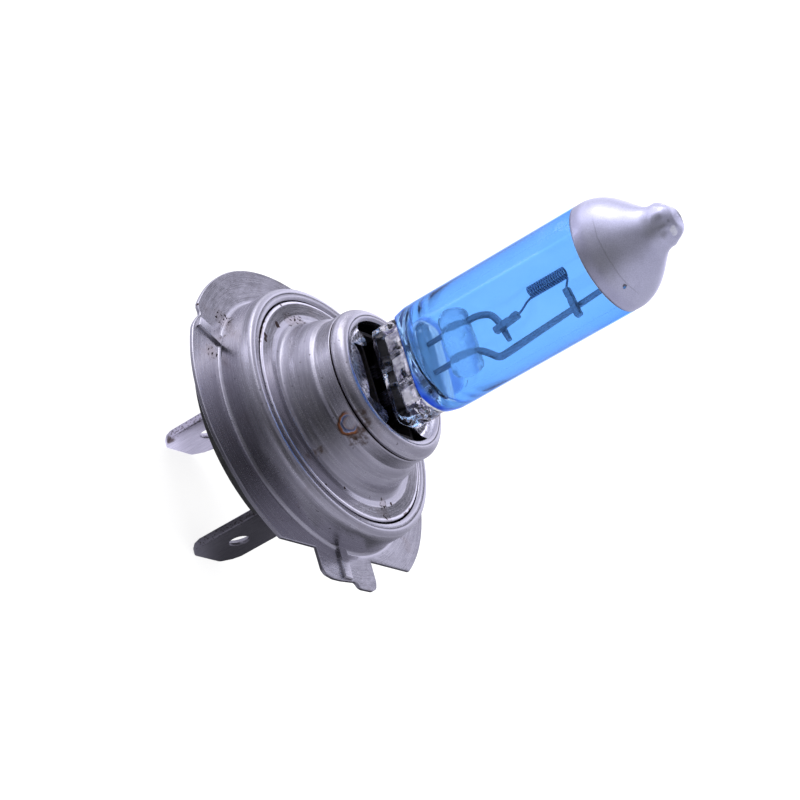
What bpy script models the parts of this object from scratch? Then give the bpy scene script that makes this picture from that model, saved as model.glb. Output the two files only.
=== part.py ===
"""H7-type halogen headlight bulb: pressed steel prefocus cap, quartz burner, coatings, filament frame.

Frame: metres, +Z along the lamp axis from the blades to the glass tip, -Y towards the keyed tongue of
the flange. The origin is on the axis in the reference plane, which the tops of the flange ribs define.
"""

import math

import bmesh
import bpy
from mathutils import Vector

MM = 0.001

# Metal cap
SHEET = 0.38 * MM
PLATE_Z = -0.3 * MM
FLANGE_R = 16.65 * MM
FLANGE_FLAT_Y = -13.3 * MM
TONGUE_X = (-4.8 * MM, 3.6 * MM)
TONGUE_STEP_X = 0.1 * MM
TONGUE_STEP_DEPTH = 0.6 * MM
EDGE_NOTCH_DEG = 145.5
RIB_DEGS = (28.0, 151.5, -94.5)
RIB_INNER_R = 13.25 * MM
RIB_OUTER_R = 16.2 * MM
CAP_R = 13.0 * MM
RIM_TOP_Z = 3.5 * MM
RIM_INNER_R = 11.6 * MM
NECK_R = 7.7 * MM
NECK_TOP_Z = 8.3 * MM
COLLAR_RIM_R = 7.6 * MM
COLLAR_PLATE_Z = 9.15 * MM

# Insulator and terminals
INSULATOR_R = 13.5 * MM
INSULATOR_FLAT_Y = 9.4 * MM
INSULATOR_BACK_Z = -3.0 * MM
SOCKET_BLOCK_Z = -5.0 * MM
FAR_BLADE_Y = 5.35 * MM
TONGUE_BLADE_Y = -6.25 * MM
BLADE_WIDTH = 6.3 * MM
BLADE_THICK = 0.8 * MM
BLADE_TIP_Z = -15.5 * MM
BLADE_ROOT_Z = -1.2 * MM
BLADE_HOLE_R = 0.85 * MM
BLADE_HOLE_Z = -11.4 * MM
BLADE_CHAMFER = 1.3 * MM

# Burner
GLASS_R = 5.2 * MM
GLASS_WALL = 1.0 * MM
PINCH_HALF_Y = 5.0 * MM
PINCH_HALF_X = 1.8 * MM
PINCH_BOTTOM_Z = 4.0 * MM
PAINT_EDGE_Z = 33.7 * MM
COAT_THICK = 0.1 * MM
COAT_GAP = 0.03 * MM
LEAD_Y = 1.5 * MM
CHANNEL_HALF_X = 0.42 * MM
CHANNEL_HALF_Y = 0.95 * MM

# Filament frame
LEAD_R = 0.33 * MM
FOIL_THICK = 0.12 * MM
FOIL_WIDTH = 1.5 * MM
BRIDGE_Z = 17.5 * MM
BRIDGE_R = 1.6 * MM
BRIDGE_HALF = 3.4 * MM
COIL_Y = 0.8 * MM
COIL_START_Z = 25.7 * MM
COIL_LENGTH = 4.1 * MM
COIL_R = 0.5 * MM
COIL_WIRE_R = 0.09 * MM
COIL_TURNS = 15

STEPS = 60
GLASS_STEPS = 48


def clear_scene():
    for obj in list(bpy.data.objects):
        bpy.data.objects.remove(obj, do_unlink=True)


def material(name, colour, metallic, roughness, transmission=0.0):
    mat = bpy.data.materials.new(name)
    mat.use_nodes = True
    shader = mat.node_tree.nodes["Principled BSDF"]
    shader.inputs["Base Color"].default_value = (*colour, 1.0)
    shader.inputs["Metallic"].default_value = metallic
    shader.inputs["Roughness"].default_value = roughness
    shader.inputs["Transmission Weight"].default_value = transmission
    mat.diffuse_color = (*colour, 1.0)
    return mat


def mesh_object(name, verts, edges, faces, mat=None):
    mesh = bpy.data.meshes.new(name)
    mesh.from_pydata([tuple(v) for v in verts], edges, faces)
    mesh.update()
    obj = bpy.data.objects.new(name, mesh)
    bpy.context.scene.collection.objects.link(obj)
    if mat is not None:
        mesh.materials.append(mat)
    return obj


def smooth(obj):
    for face in obj.data.polygons:
        face.use_smooth = True


def mark_cutter(obj):
    obj.hide_render = True
    obj.display_type = "WIRE"
    return obj


def boolean(obj, cutter, operation):
    mod = obj.modifiers.new(operation.lower() + "_" + cutter.name, "BOOLEAN")
    mod.operation = operation
    mod.solver = "EXACT"
    mod.object = cutter
    mark_cutter(cutter)


def revolve(name, profile, mat=None, steps=STEPS):
    """Turns a closed or axis-to-axis profile of (r, z), in millimetres, about Z."""
    verts = [(r * MM, 0.0, z * MM) for r, z in profile]
    edges = [(i, i + 1) for i in range(len(verts) - 1)]
    if profile[0][0] > 0 or profile[-1][0] > 0:
        edges.append((len(verts) - 1, 0))
    obj = mesh_object(name, verts, edges, [], mat)
    mod = obj.modifiers.new("turn", "SCREW")
    mod.axis = "Z"
    mod.steps = steps
    mod.render_steps = steps
    mod.use_merge_vertices = True
    mod.merge_threshold = 0.000001
    mod.use_smooth_shade = True
    return obj


def prism(name, outline, z0, z1, mat=None):
    """Extrudes an outline of (x, y), counter-clockwise in metres, from z0 up to z1."""
    n = len(outline)
    verts = [(x, y, z0) for x, y in outline] + [(x, y, z1) for x, y in outline]
    faces = [tuple(range(n - 1, -1, -1)), tuple(range(n, 2 * n))]
    faces += [(i, (i + 1) % n, n + (i + 1) % n, n + i) for i in range(n)]
    return mesh_object(name, verts, [], faces, mat)


def box(name, low, high, mat=None):
    outline = [(low[0], low[1]), (high[0], low[1]), (high[0], high[1]), (low[0], high[1])]
    return prism(name, outline, low[2], high[2], mat)


def bevel(obj, width, segments=3):
    mod = obj.modifiers.new("edges", "BEVEL")
    mod.width = width
    mod.segments = segments
    mod.limit_method = "ANGLE"


def tube(name, points, radius, mat, sides=10):
    """A round wire along a path, with its ends closed."""
    path = [Vector(p) for p in points]
    verts = []
    normal = None
    for i, point in enumerate(path):
        ahead = path[min(i + 1, len(path) - 1)]
        behind = path[max(i - 1, 0)]
        along = (ahead - behind).normalized()
        if normal is None:
            guess = Vector((1, 0, 0)) if abs(along.x) < 0.9 else Vector((0, 1, 0))
            normal = (guess - along * guess.dot(along)).normalized()
        else:
            normal = (normal - along * normal.dot(along)).normalized()
        side = along.cross(normal)
        for k in range(sides):
            a = 2 * math.pi * k / sides
            verts.append(point + radius * (math.cos(a) * normal + math.sin(a) * side))
    faces = []
    for i in range(len(path) - 1):
        for k in range(sides):
            a = i * sides + k
            b = i * sides + (k + 1) % sides
            faces.append((a, b, b + sides, a + sides))
    faces.append(tuple(range(sides - 1, -1, -1)))
    faces.append(tuple(range(len(verts) - sides, len(verts))))
    obj = mesh_object(name, verts, [], faces, mat)
    smooth(obj)
    return obj


def rounded(points, count=5, reach=0.8 * MM):
    """Smooths a path by replacing each inner corner with a short quadratic arc."""
    pts = [Vector(p) for p in points]
    out = [pts[0]]
    for a, b, c in zip(pts, pts[1:], pts[2:]):
        start = b + (a - b).normalized() * min(reach, 0.45 * (a - b).length)
        end = b + (c - b).normalized() * min(reach, 0.45 * (c - b).length)
        for i in range(count + 1):
            t = i / count
            out.append(start * (1 - t) ** 2 + b * 2 * t * (1 - t) + end * t * t)
    out.append(pts[-1])
    return out


def flange_outline():
    """Round plate with a flat across -Y, a keyed tongue standing on the flat, and one edge notch."""
    r = FLANGE_R
    x0, x1 = TONGUE_X
    low = -r + TONGUE_STEP_DEPTH
    flat_deg = math.degrees(math.asin(FLANGE_FLAT_Y / r))
    points = [(x0, FLANGE_FLAT_Y), (x0, low + 0.5 * MM), (x0 + 0.4 * MM, low + 0.05 * MM)]
    points += [(x0 + 1.4 * MM, low - 0.2 * MM), (x0 + 2.6 * MM, low - 0.2 * MM)]
    points += [(TONGUE_STEP_X, low), (TONGUE_STEP_X + 0.4 * MM, -r + 0.1 * MM)]
    points += [(TONGUE_STEP_X + 0.8 * MM, -r), (x1 - 1.0 * MM, -r + 0.05 * MM)]
    points += [(x1 - 0.3 * MM, -r + 0.4 * MM), (x1, -r + 1.1 * MM), (x1, FLANGE_FLAT_Y)]
    start = flat_deg
    end = 180.0 - flat_deg
    count = 84
    for i in range(count + 1):
        deg = start + (end - start) * i / count
        radius = r
        if abs(deg - EDGE_NOTCH_DEG) < 2.0:
            radius = r - 0.8 * MM
        points.append((radius * math.cos(math.radians(deg)), radius * math.sin(math.radians(deg))))
    return points


def rib_cutter(name, deg, z0, z1, half_width, r0, r1):
    a = math.radians(deg)
    along = Vector((math.cos(a), math.sin(a)))
    side = Vector((-along.y, along.x))
    corners = [along * r0 - side * half_width, along * r1 - side * half_width]
    corners += [along * r1 + side * half_width, along * r0 + side * half_width]
    return prism(name, [(c.x, c.y) for c in corners], z0, z1)


def mounting_flange(mat):
    """Flat keyed plate, drawn cylinder and rolled rim pressed from one sheet."""
    t = SHEET / MM
    r = CAP_R / MM
    top = RIM_TOP_Z / MM
    inner = RIM_INNER_R / MM
    plate = PLATE_Z / MM
    ring = [
        (r + 0.9, plate - t * 0.5), (r - t, plate - t), (r - t, 2.5), (r - t - 0.1, 2.85),
        (r - t - 0.4, 3.05),
        (inner, 3.05), (inner, 3.35), (inner + 0.15, 3.47), (r - 0.75, top), (r - 0.3, 3.38),
        (r - 0.06, 3.1), (r, 2.7), (r, 0.35), (r + 0.12, plate + 0.25), (r + 0.45, plate + 0.02),
    ]
    obj = prism("mounting_flange", flange_outline(), PLATE_Z - SHEET, PLATE_Z, mat)
    hole = revolve("flange_hole", [(0, 1), (r - t + 0.02, 1), (r - t + 0.02, -2), (0, -2)])
    boolean(obj, hole, "DIFFERENCE")
    wall = revolve("flange_wall", ring)
    boolean(obj, wall, "UNION")
    for i, deg in enumerate(RIB_DEGS):
        rib = rib_cutter("rib_%d" % i, deg, PLATE_Z - 0.15 * MM, 0.0, 0.35 * MM, RIB_INNER_R, RIB_OUTER_R)
        bevel(rib, 0.12 * MM, 2)
        boolean(obj, rib, "UNION")
    return obj


def neck_ring(mat):
    """Flat disc inside the rim, concave flare and straight neck, one sheet thick."""
    r = NECK_R / MM
    top = NECK_TOP_Z / MM
    outer = [
        (11.45, 3.3), (9.9, 3.38), (9.25, 3.62), (8.8, 4.1), (8.5, 4.8), (8.15, 5.6), (r + 0.1, 6.2),
        (r, 6.5), (r, top),
    ]
    inner = [
        (r - 0.35, top), (r - 0.35, 6.4), (7.5, 6.0), (7.8, 5.5), (8.12, 4.8), (8.4, 4.0), (8.9, 3.35),
        (9.8, 3.0), (11.45, 2.95),
    ]
    return revolve("neck_ring", (outer + inner)[::-1], mat)


def slot_cutter():
    """The slotted opening: an arc past each pinch edge, a wide window by each face, tongues between."""
    end = []
    radius = 6.2 * MM
    for sign in (1, -1):
        for i in range(9):
            deg = 62 + 56 * i / 8
            x = radius * math.cos(math.radians(deg))
            y = radius * math.sin(math.radians(deg))
            end.append((sign * x, sign * y))
        end.append((sign * -2.15 * MM, sign * 4.5 * MM))
        end.append((sign * -2.15 * MM, sign * 3.35 * MM))
        end.append((sign * -3.7 * MM, sign * 2.9 * MM))
        end.append((sign * -3.95 * MM, 0.0))
        end.append((sign * -3.7 * MM, sign * -2.9 * MM))
        end.append((sign * -2.15 * MM, sign * -3.35 * MM))
        end.append((sign * -2.15 * MM, sign * -4.5 * MM))
    return prism("collar_slot", end, 8.0 * MM, 10.5 * MM)


def burner_collar(mat):
    """Cup whose wall slides in the neck; rounded rim above the seam; slotted plate on top."""
    plate = COLLAR_PLATE_Z / MM
    under = plate - 0.3
    rim = COLLAR_RIM_R / MM
    profile = [
        (0.0, under), (6.2, under), (6.85, 8.6), (6.9, 8.3), (6.9, 5.6), (7.28, 5.6), (7.28, 8.36),
        (rim - 0.05, 8.4), (rim, 8.65), (rim - 0.1, 9.05), (rim - 0.35, 9.35), (6.9, 9.52), (6.5, 9.55),
        (6.2, 9.4), (5.95, plate + 0.05), (5.7, plate), (0.0, plate),
    ]
    obj = revolve("burner_collar", profile[::-1], mat)
    boolean(obj, slot_cutter(), "DIFFERENCE")
    return obj


def pinch_holder(mat):
    """Rectangular sheet frame under the slotted plate that grips the pinch."""
    gap = 0.06 * MM
    wall = 0.35 * MM
    x = PINCH_HALF_X + gap
    y = PINCH_HALF_Y + gap
    obj = box("pinch_holder", (-x - wall, -y - wall, 4.6 * MM), (x + wall, y + wall, 8.6 * MM), mat)
    bore = box("holder_bore", (-x, -y, 4.0 * MM), (x, y, 9.0 * MM))
    boolean(obj, bore, "DIFFERENCE")
    return obj


def insulator_base(mat):
    """Black moulded disc with a boss inside the cap and a block that carries the blades."""
    r = INSULATOR_R / MM
    back = INSULATOR_BACK_Z / MM
    under = (PLATE_Z - SHEET) / MM - 0.05
    profile = [
        (0, 1.2), (11.9, 1.2), (12.3, 0.9), (12.3, under), (r, under), (r, back + 0.3),
        (r - 0.3, back), (0, back),
    ]
    obj = revolve("insulator_base", profile, mat)
    for sign in (1, -1):
        near = sign * INSULATOR_FLAT_Y
        far = sign * 15 * MM
        low = (-15 * MM, min(near, far), -4 * MM)
        high = (15 * MM, max(near, far), under * MM)
        boolean(obj, box("flat_cut_%d" % (sign > 0), low, high), "DIFFERENCE")
    block_top = INSULATOR_BACK_Z + 0.5 * MM
    block = box("block", (-4.8 * MM, -7.6 * MM, SOCKET_BLOCK_Z), (4.8 * MM, 7.6 * MM, block_top))
    bevel(block, 0.8 * MM, 2)
    boolean(obj, block, "UNION")
    for y in (FAR_BLADE_Y, TONGUE_BLADE_Y):
        half = BLADE_THICK / 2 + 0.05 * MM
        low = (-BLADE_WIDTH / 2 - 0.05 * MM, y - half, SOCKET_BLOCK_Z - 1 * MM)
        high = (BLADE_WIDTH / 2 + 0.05 * MM, y + half, 2 * MM)
        boolean(obj, box("blade_slot_%d" % (y > 0), low, high), "DIFFERENCE")
    return obj


def terminal(name, y, mat):
    """Flat blade with chamfered end corners and a round hole."""
    half = BLADE_WIDTH / 2
    c = BLADE_CHAMFER
    outline = [
        (-half, BLADE_ROOT_Z), (-half, BLADE_TIP_Z + 1.4 * c), (-half + c, BLADE_TIP_Z),
        (half - c, BLADE_TIP_Z), (half, BLADE_TIP_Z + 1.4 * c), (half, BLADE_ROOT_Z),
    ]
    y0 = y - BLADE_THICK / 2
    y1 = y0 + BLADE_THICK
    n = len(outline)
    verts = [(x, y0, z) for x, z in outline] + [(x, y1, z) for x, z in outline]
    faces = [tuple(range(n)), tuple(range(2 * n - 1, n - 1, -1))]
    faces += [((i + 1) % n, i, n + i, n + (i + 1) % n) for i in range(n)]
    obj = mesh_object(name, verts, [], faces, mat)
    bevel(obj, 0.1 * MM, 2)
    r = BLADE_HOLE_R / MM
    bore = revolve("bore_" + name, [(0, 1.5), (r, 1.5), (r, -1.5), (0, -1.5)], None, 24)
    bore.rotation_euler = (math.pi / 2, 0, 0)
    bore.location = (0, y, BLADE_HOLE_Z)
    boolean(obj, bore, "DIFFERENCE")
    return obj


def tip_profile(extra):
    """(r, z) of the domed end and exhaust nub, from the nub's point down, grown by extra mm."""
    dome = [
        (0.0, 41.6), (0.9, 41.4), (1.6, 40.85), (2.0, 40.2), (2.1, 39.5), (2.3, 38.95), (2.98, 38.25),
        (3.7, 37.55), (4.4, 36.75), (4.95, 35.85), (5.28, 34.8),
    ]
    grown = []
    for i, (r, z) in enumerate(dome):
        a = Vector(dome[max(i - 1, 0)])
        b = Vector(dome[min(i + 1, len(dome) - 1)])
        d = (b - a).normalized()
        n = Vector((-d.y, d.x))
        if i == 0:
            n = Vector((0, 1))
        grown.append((r + n.x * extra if i else 0.0, z + n.y * extra))
    return grown


def quartz_burner(mat):
    """Envelope, exhaust tip and flat pinch in one piece; two foil channels open the cavity downwards."""
    r = GLASS_R / MM
    wall = GLASS_WALL / MM
    shoulder = [(5.1, 13.6), (4.8, 13.1), (4.3, 12.75), (3.0, 12.4), (0.0, 12.3)]
    outer = tip_profile(-0.13) + [(r, 33.7), (r, 14.2)] + shoulder
    cavity = [
        (0.0, 36.9), (1.5, 36.75), (2.7, 36.2), (3.6, 35.5), (4.1, 34.7), (r - wall, 33.6),
        (r - wall, 15.2), (4.1, 14.5), (3.5, 14.0), (2.0, 13.7), (0.0, 13.6),
    ]
    obj = revolve("quartz_burner", outer, mat, GLASS_STEPS)
    low = (-PINCH_HALF_X, -PINCH_HALF_Y, PINCH_BOTTOM_Z)
    pinch = box("pinch", low, (PINCH_HALF_X, PINCH_HALF_Y, 13.3 * MM))
    bevel(pinch, 0.45 * MM, 3)
    boolean(obj, pinch, "UNION")
    boolean(obj, revolve("cavity", cavity, None, 40), "DIFFERENCE")
    for sign in (1, -1):
        low = (-CHANNEL_HALF_X, sign * LEAD_Y - CHANNEL_HALF_Y, 3.0 * MM)
        high = (CHANNEL_HALF_X, sign * LEAD_Y + CHANNEL_HALF_Y, 14.5 * MM)
        boolean(obj, box("channel_%d" % (sign > 0), low, high), "DIFFERENCE")
    return obj


def blue_filter_coat(mat):
    inner = (GLASS_R + COAT_GAP) / MM
    outer = (GLASS_R + COAT_GAP + COAT_THICK) / MM
    edge = PAINT_EDGE_Z / MM - 0.05
    profile = [(outer, edge), (outer, 14.3), (inner, 14.3), (inner, edge)]
    return revolve("blue_filter_coat", profile, mat, GLASS_STEPS)


def silver_tip_coat(mat):
    gap = COAT_GAP / MM
    thick = COAT_THICK / MM
    outer = tip_profile(gap + thick - 0.13) + [((GLASS_R / MM) + gap + thick, PAINT_EDGE_Z / MM)]
    inner = tip_profile(gap - 0.13) + [((GLASS_R / MM) + gap, PAINT_EDGE_Z / MM)]
    return revolve("silver_tip_coat", outer + inner[::-1], mat, GLASS_STEPS)


def quartz_bridge(mat):
    """Rounded clear bar with two bores for the inner leads."""
    profile = [(0, BRIDGE_HALF / MM)]
    r = BRIDGE_R / MM
    h = BRIDGE_HALF / MM
    for i in range(1, 6):
        a = math.pi / 2 * i / 5
        profile.append((r * math.sin(a), h - 0.9 + 0.9 * math.cos(a)))
    profile += [(x, -z) for x, z in profile[::-1]]
    obj = revolve("quartz_bridge", profile, mat, 28)
    obj.rotation_euler = (math.pi / 2, 0, 0)
    obj.location = (0, 0, BRIDGE_Z)
    for sign in (1, -1):
        bore = revolve("bridge_bore_%d" % (sign > 0), [(0, 3), (0.46, 3), (0.46, -3), (0, -3)], None, 16)
        bore.location = (0, sign * LEAD_Y, BRIDGE_Z)
        boolean(obj, bore, "DIFFERENCE")
    return obj


def mm_path(points):
    return [(x * MM, y * MM, z * MM) for x, y, z in points]


def short_support_lead(mat):
    y = LEAD_Y / MM
    path = [(0, y, 13.0), (0, y, 20.0), (0, 0.9, 21.4), (0, -0.3, 22.0), (0, -2.3, 22.4)]
    return tube("short_support_lead", rounded(mm_path(path)), LEAD_R, mat)


def long_support_lead(mat):
    y = -LEAD_Y / MM
    path = [(0, y, 13.0), (0, y, 19.1), (0, -3.25, 20.9), (0, -3.22, 21.9), (0, -2.35, 34.2)]
    return tube("long_support_lead", rounded(mm_path(path)), LEAD_R, mat)


def sealing_foil(name, sign, mat):
    y = sign * LEAD_Y
    low = (-FOIL_THICK / 2, y - FOIL_WIDTH / 2, 6.4 * MM)
    high = (FOIL_THICK / 2, y + FOIL_WIDTH / 2, 12.8 * MM)
    return box(name, low, high, mat)


def outer_lead(name, sign, mat):
    y = sign * LEAD_Y / MM
    by = (FAR_BLADE_Y if sign > 0 else TONGUE_BLADE_Y) / MM - sign * (BLADE_THICK / MM / 2 + 0.4)
    path = [(0, y, 6.2), (0, y, 3.2), (0, by, 2.2), (0, by, 1.45)]
    return tube(name, rounded(mm_path(path), 4), LEAD_R, mat)


def filament_coil(mat):
    """Close helix along +Z with both legs turned towards the support frame."""
    per_turn = 10
    count = COIL_TURNS * per_turn
    z0 = COIL_START_Z / MM
    z1 = z0 + COIL_LENGTH / MM
    points = [(-0.68, -0.84, z0 - 1.25), (-0.5, -0.45, z0 - 0.65), (-0.15, 0.08, z0 - 0.22)]
    cy = COIL_Y / MM
    for i in range(count + 1):
        a = 2 * math.pi * i / per_turn - math.pi / 2
        z = z0 + (z1 - z0) * i / count
        points.append((COIL_R / MM * math.cos(a), cy + COIL_R / MM * math.sin(a), z))
    points.append((-0.3, -0.1, z1 + 0.1))
    points.append((-0.66, -0.95, z1 - 0.12))
    return tube("filament_coil", mm_path(points), COIL_WIRE_R, mat, 6)


def filament_clamp(name, start, end, mat):
    """Flattened sleeve pressed beside the support wire."""
    a = Vector(start) * MM
    b = Vector(end) * MM
    along = (b - a).normalized()
    across = Vector((1, 0, 0))
    side = along.cross(across)
    hw = 0.34 * MM
    ht = 0.28 * MM
    verts = []
    for p in (a, b):
        for sx, ss in ((-1, -1), (1, -1), (1, 1), (-1, 1)):
            verts.append(p + across * hw * sx + side * ht * ss)
    faces = [(0, 1, 2, 3), (7, 6, 5, 4), (1, 0, 4, 5), (2, 1, 5, 6), (3, 2, 6, 7), (0, 3, 7, 4)]
    obj = mesh_object(name, verts, [], faces, mat)
    bevel(obj, 0.1 * MM, 2)
    return obj


def recalculate(obj):
    """Points every face of a hand-built mesh outwards."""
    mesh = bmesh.new()
    mesh.from_mesh(obj.data)
    bmesh.ops.recalc_face_normals(mesh, faces=mesh.faces)
    mesh.to_mesh(obj.data)
    mesh.free()


def build():
    clear_scene()
    steel = material("brushed_steel", (0.55, 0.54, 0.56), 1.0, 0.32)
    collar_steel = material("collar_steel", (0.6, 0.6, 0.63), 1.0, 0.25)
    tin = material("terminal_tin", (0.5, 0.49, 0.5), 1.0, 0.38)
    black = material("black_moulding", (0.015, 0.015, 0.017), 0.0, 0.5)
    quartz = material("clear_quartz", (0.9, 0.93, 0.98), 0.0, 0.05, 0.9)
    blue = material("blue_tint", (0.12, 0.38, 0.95), 0.0, 0.06, 0.8)
    silver = material("silver_paint", (0.6, 0.58, 0.62), 0.6, 0.42)
    moly = material("molybdenum", (0.35, 0.35, 0.38), 1.0, 0.4)
    tungsten = material("tungsten", (0.25, 0.25, 0.28), 1.0, 0.45)
    mounting_flange(steel)
    neck_ring(steel)
    burner_collar(collar_steel)
    pinch_holder(collar_steel)
    insulator_base(black)
    terminal("terminal_far_side", FAR_BLADE_Y, tin)
    terminal("terminal_tongue_side", TONGUE_BLADE_Y, tin)
    quartz_burner(quartz)
    blue_filter_coat(blue)
    silver_tip_coat(silver)
    quartz_bridge(quartz)
    short_support_lead(moly)
    long_support_lead(moly)
    sealing_foil("sealing_foil_a", 1, moly)
    sealing_foil("sealing_foil_b", -1, moly)
    outer_lead("outer_lead_a", 1, moly)
    outer_lead("outer_lead_b", -1, moly)
    filament_coil(tungsten)
    filament_clamp("near_filament_clamp", (-0.68, -1.18, 21.65), (-0.68, -0.83, 24.35), moly)
    filament_clamp("far_filament_clamp", (-0.68, -1.05, 29.65), (-0.68, -3.75, 29.95), moly)
    for obj in bpy.context.scene.objects:
        if obj.type == "MESH" and len(obj.data.polygons):
            recalculate(obj)


build()
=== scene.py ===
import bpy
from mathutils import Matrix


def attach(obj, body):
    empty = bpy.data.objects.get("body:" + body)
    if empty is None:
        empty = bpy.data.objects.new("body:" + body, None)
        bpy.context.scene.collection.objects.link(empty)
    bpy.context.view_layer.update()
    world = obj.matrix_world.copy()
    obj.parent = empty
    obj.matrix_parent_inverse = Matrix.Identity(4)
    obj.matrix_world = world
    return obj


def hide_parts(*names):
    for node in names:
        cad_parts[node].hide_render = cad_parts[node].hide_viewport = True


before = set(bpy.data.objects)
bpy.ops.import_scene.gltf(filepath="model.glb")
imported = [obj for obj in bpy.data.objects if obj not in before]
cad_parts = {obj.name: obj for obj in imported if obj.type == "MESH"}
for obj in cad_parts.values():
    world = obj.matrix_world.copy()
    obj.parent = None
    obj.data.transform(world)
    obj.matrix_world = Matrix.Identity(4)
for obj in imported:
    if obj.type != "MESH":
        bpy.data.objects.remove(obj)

"""Looks of an H7-type halogen headlight bulb. Lengths are millimetres in the object frame."""

import math

import bmesh
import bpy
from mathutils import Matrix, Vector, noise

MM = 0.001
SCENE = bpy.context.scene
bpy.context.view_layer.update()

# Pressed metal cap
SHEET = 0.38
PLATE_Z = -0.3
FLANGE_R = 16.63
FLAT_Y = -13.3
TONGUE_X = (-4.8, 3.6)
FOOT_R = 13.55
RIBS = (28.0, 150.4, -94.5)
LATHE_STEPS = 200

# Glass
GLASS_R = 5.2
CAVITY_R = 4.2
PINCH_X = 1.72
PINCH_Y = 4.95
PINCH_FOOT_Z = 4.0
PINCH_TOP_Z = 12.95
BRIDGE_Z = 17.5
LEAD_R = 0.33
CLAMP_X = -0.68
PAINT_EDGE_Z = 33.66
RING = 192

# Blades
BLADE_W = 6.3
BLADE_T = 0.8
FAR_BLADE_Y = 5.35
TONGUE_BLADE_Y = -6.25
BLADE_HOLE_Z = -11.4
BLADE_END_Z = -15.5


# ---- geometry helpers
def rounded(points, reach, count=4, closed=False):
    """Replaces each corner of a path with a short arc."""
    pts = [Vector(p) for p in points]
    n = len(pts)
    out = []
    for i, b in enumerate(pts):
        if not closed and i in (0, n - 1):
            out.append(b)
            continue
        a, c = pts[i - 1], pts[(i + 1) % n]
        r = min(reach, 0.45 * (a - b).length, 0.45 * (c - b).length)
        start, end = b + (a - b).normalized() * r, b + (c - b).normalized() * r
        for k in range(count + 1):
            t = k / count
            out.append(start * (1 - t) ** 2 + b * 2 * t * (1 - t) + end * t * t)
    return out


def add_object(name, data):
    obj = bpy.data.objects.new(name, data)
    SCENE.collection.objects.link(obj)
    return obj


def smooth_below(data, angle):
    """Shades a mesh smooth except at edges sharper than angle."""
    for face in data.polygons:
        face.use_smooth = True
    data.set_sharp_from_angle(angle=math.radians(angle))


def finish_mesh(name, mesh, mat, sharp=35.0, smooth=True, recalc=True):
    """Turns a bmesh in millimetres into a shaded object in metres."""
    if recalc:
        bmesh.ops.recalc_face_normals(mesh, faces=mesh.faces)
    bmesh.ops.scale(mesh, vec=(MM, MM, MM), verts=mesh.verts)
    data = bpy.data.meshes.new(name)
    mesh.to_mesh(data)
    mesh.free()
    if smooth:
        smooth_below(data, sharp)
    if mat:
        data.materials.append(mat)
    return add_object(name, data)


def add_grid(mesh, rows, closed_rows=True, closed_cols=False):
    """Faces between successive rows of vertices. A row with one vertex is a pole."""
    pairs = list(zip(rows, rows[1:]))
    if closed_cols:
        pairs.append((rows[-1], rows[0]))
    for low, high in pairs:
        n = max(len(low), len(high))
        if n == 1:
            continue
        for k in range(n if closed_rows else n - 1):
            j = (k + 1) % n
            if len(low) == 1:
                quad = (low[0], high[j], high[k])
            elif len(high) == 1:
                quad = (low[k], low[j], high[0])
            else:
                quad = (low[k], low[j], high[j], high[k])
            mesh.faces.new(quad)


def lathe_rows(mesh, profile, steps, bend=None):
    rows = []
    for r, z in profile:
        if r < 1e-6:
            rows.append([mesh.verts.new((0.0, 0.0, z))])
            continue
        row = [Vector((r * c, r * s, z)) for c, s in circle(steps)]
        rows.append([mesh.verts.new(p + bend(p) if bend else p) for p in row])
    return rows


def lathe(name, profile, mat, steps=LATHE_STEPS, closed=True, bend=None, sharp=35.0):
    mesh = bmesh.new()
    rows = lathe_rows(mesh, profile, steps, bend)
    add_grid(mesh, rows, closed_cols=closed)
    return finish_mesh(name, mesh, mat, sharp)


def capped(name, mesh, rows, mat=None, sharp=35.0, smooth=True):
    """Closes a tube of rows with a face at each end."""
    add_grid(mesh, rows)
    mesh.faces.new(rows[0])
    mesh.faces.new(rows[-1])
    return finish_mesh(name, mesh, mat, sharp, smooth)


def prism(name, outline, z0, z1):
    mesh = bmesh.new()
    rows = [[mesh.verts.new((x, y, z)) for x, y in outline] for z in (z0, z1)]
    return capped(name, mesh, rows, smooth=False)


def box(name, low, high):
    outline = [(low[0], low[1]), (high[0], low[1]), (high[0], high[1]), (low[0], high[1])]
    return prism(name, outline, low[2], high[2])


def cut(obj, cutter, operation="DIFFERENCE"):
    """Boolean, applied at once, and the cutter removed."""
    mod = obj.modifiers.new("cut", "BOOLEAN")
    mod.operation = operation
    mod.solver = "EXACT"
    mod.object = cutter
    apply_all(obj)
    bpy.data.objects.remove(cutter, do_unlink=True)


def lie_along_y(obj, deg, place_at):
    """Tips a lathed shape over about X and moves it."""
    tip = Matrix.Rotation(math.radians(deg), 4, "X")
    obj.data.transform(Matrix.Translation(Vector(place_at) * MM) @ tip)


def apply_all(obj, sharp=None):
    graph = bpy.context.evaluated_depsgraph_get()
    data = bpy.data.meshes.new_from_object(obj.evaluated_get(graph), depsgraph=graph)
    obj.modifiers.clear()
    obj.data = data
    if sharp:
        smooth_below(data, sharp)
    return obj


def bevel(obj, width, segments=3):
    mod = obj.modifiers.new("edges", "BEVEL")
    mod.width = width * MM
    mod.segments = segments
    mod.limit_method = "ANGLE"
    mod.angle_limit = math.radians(30.0)
    apply_all(obj)


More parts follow.
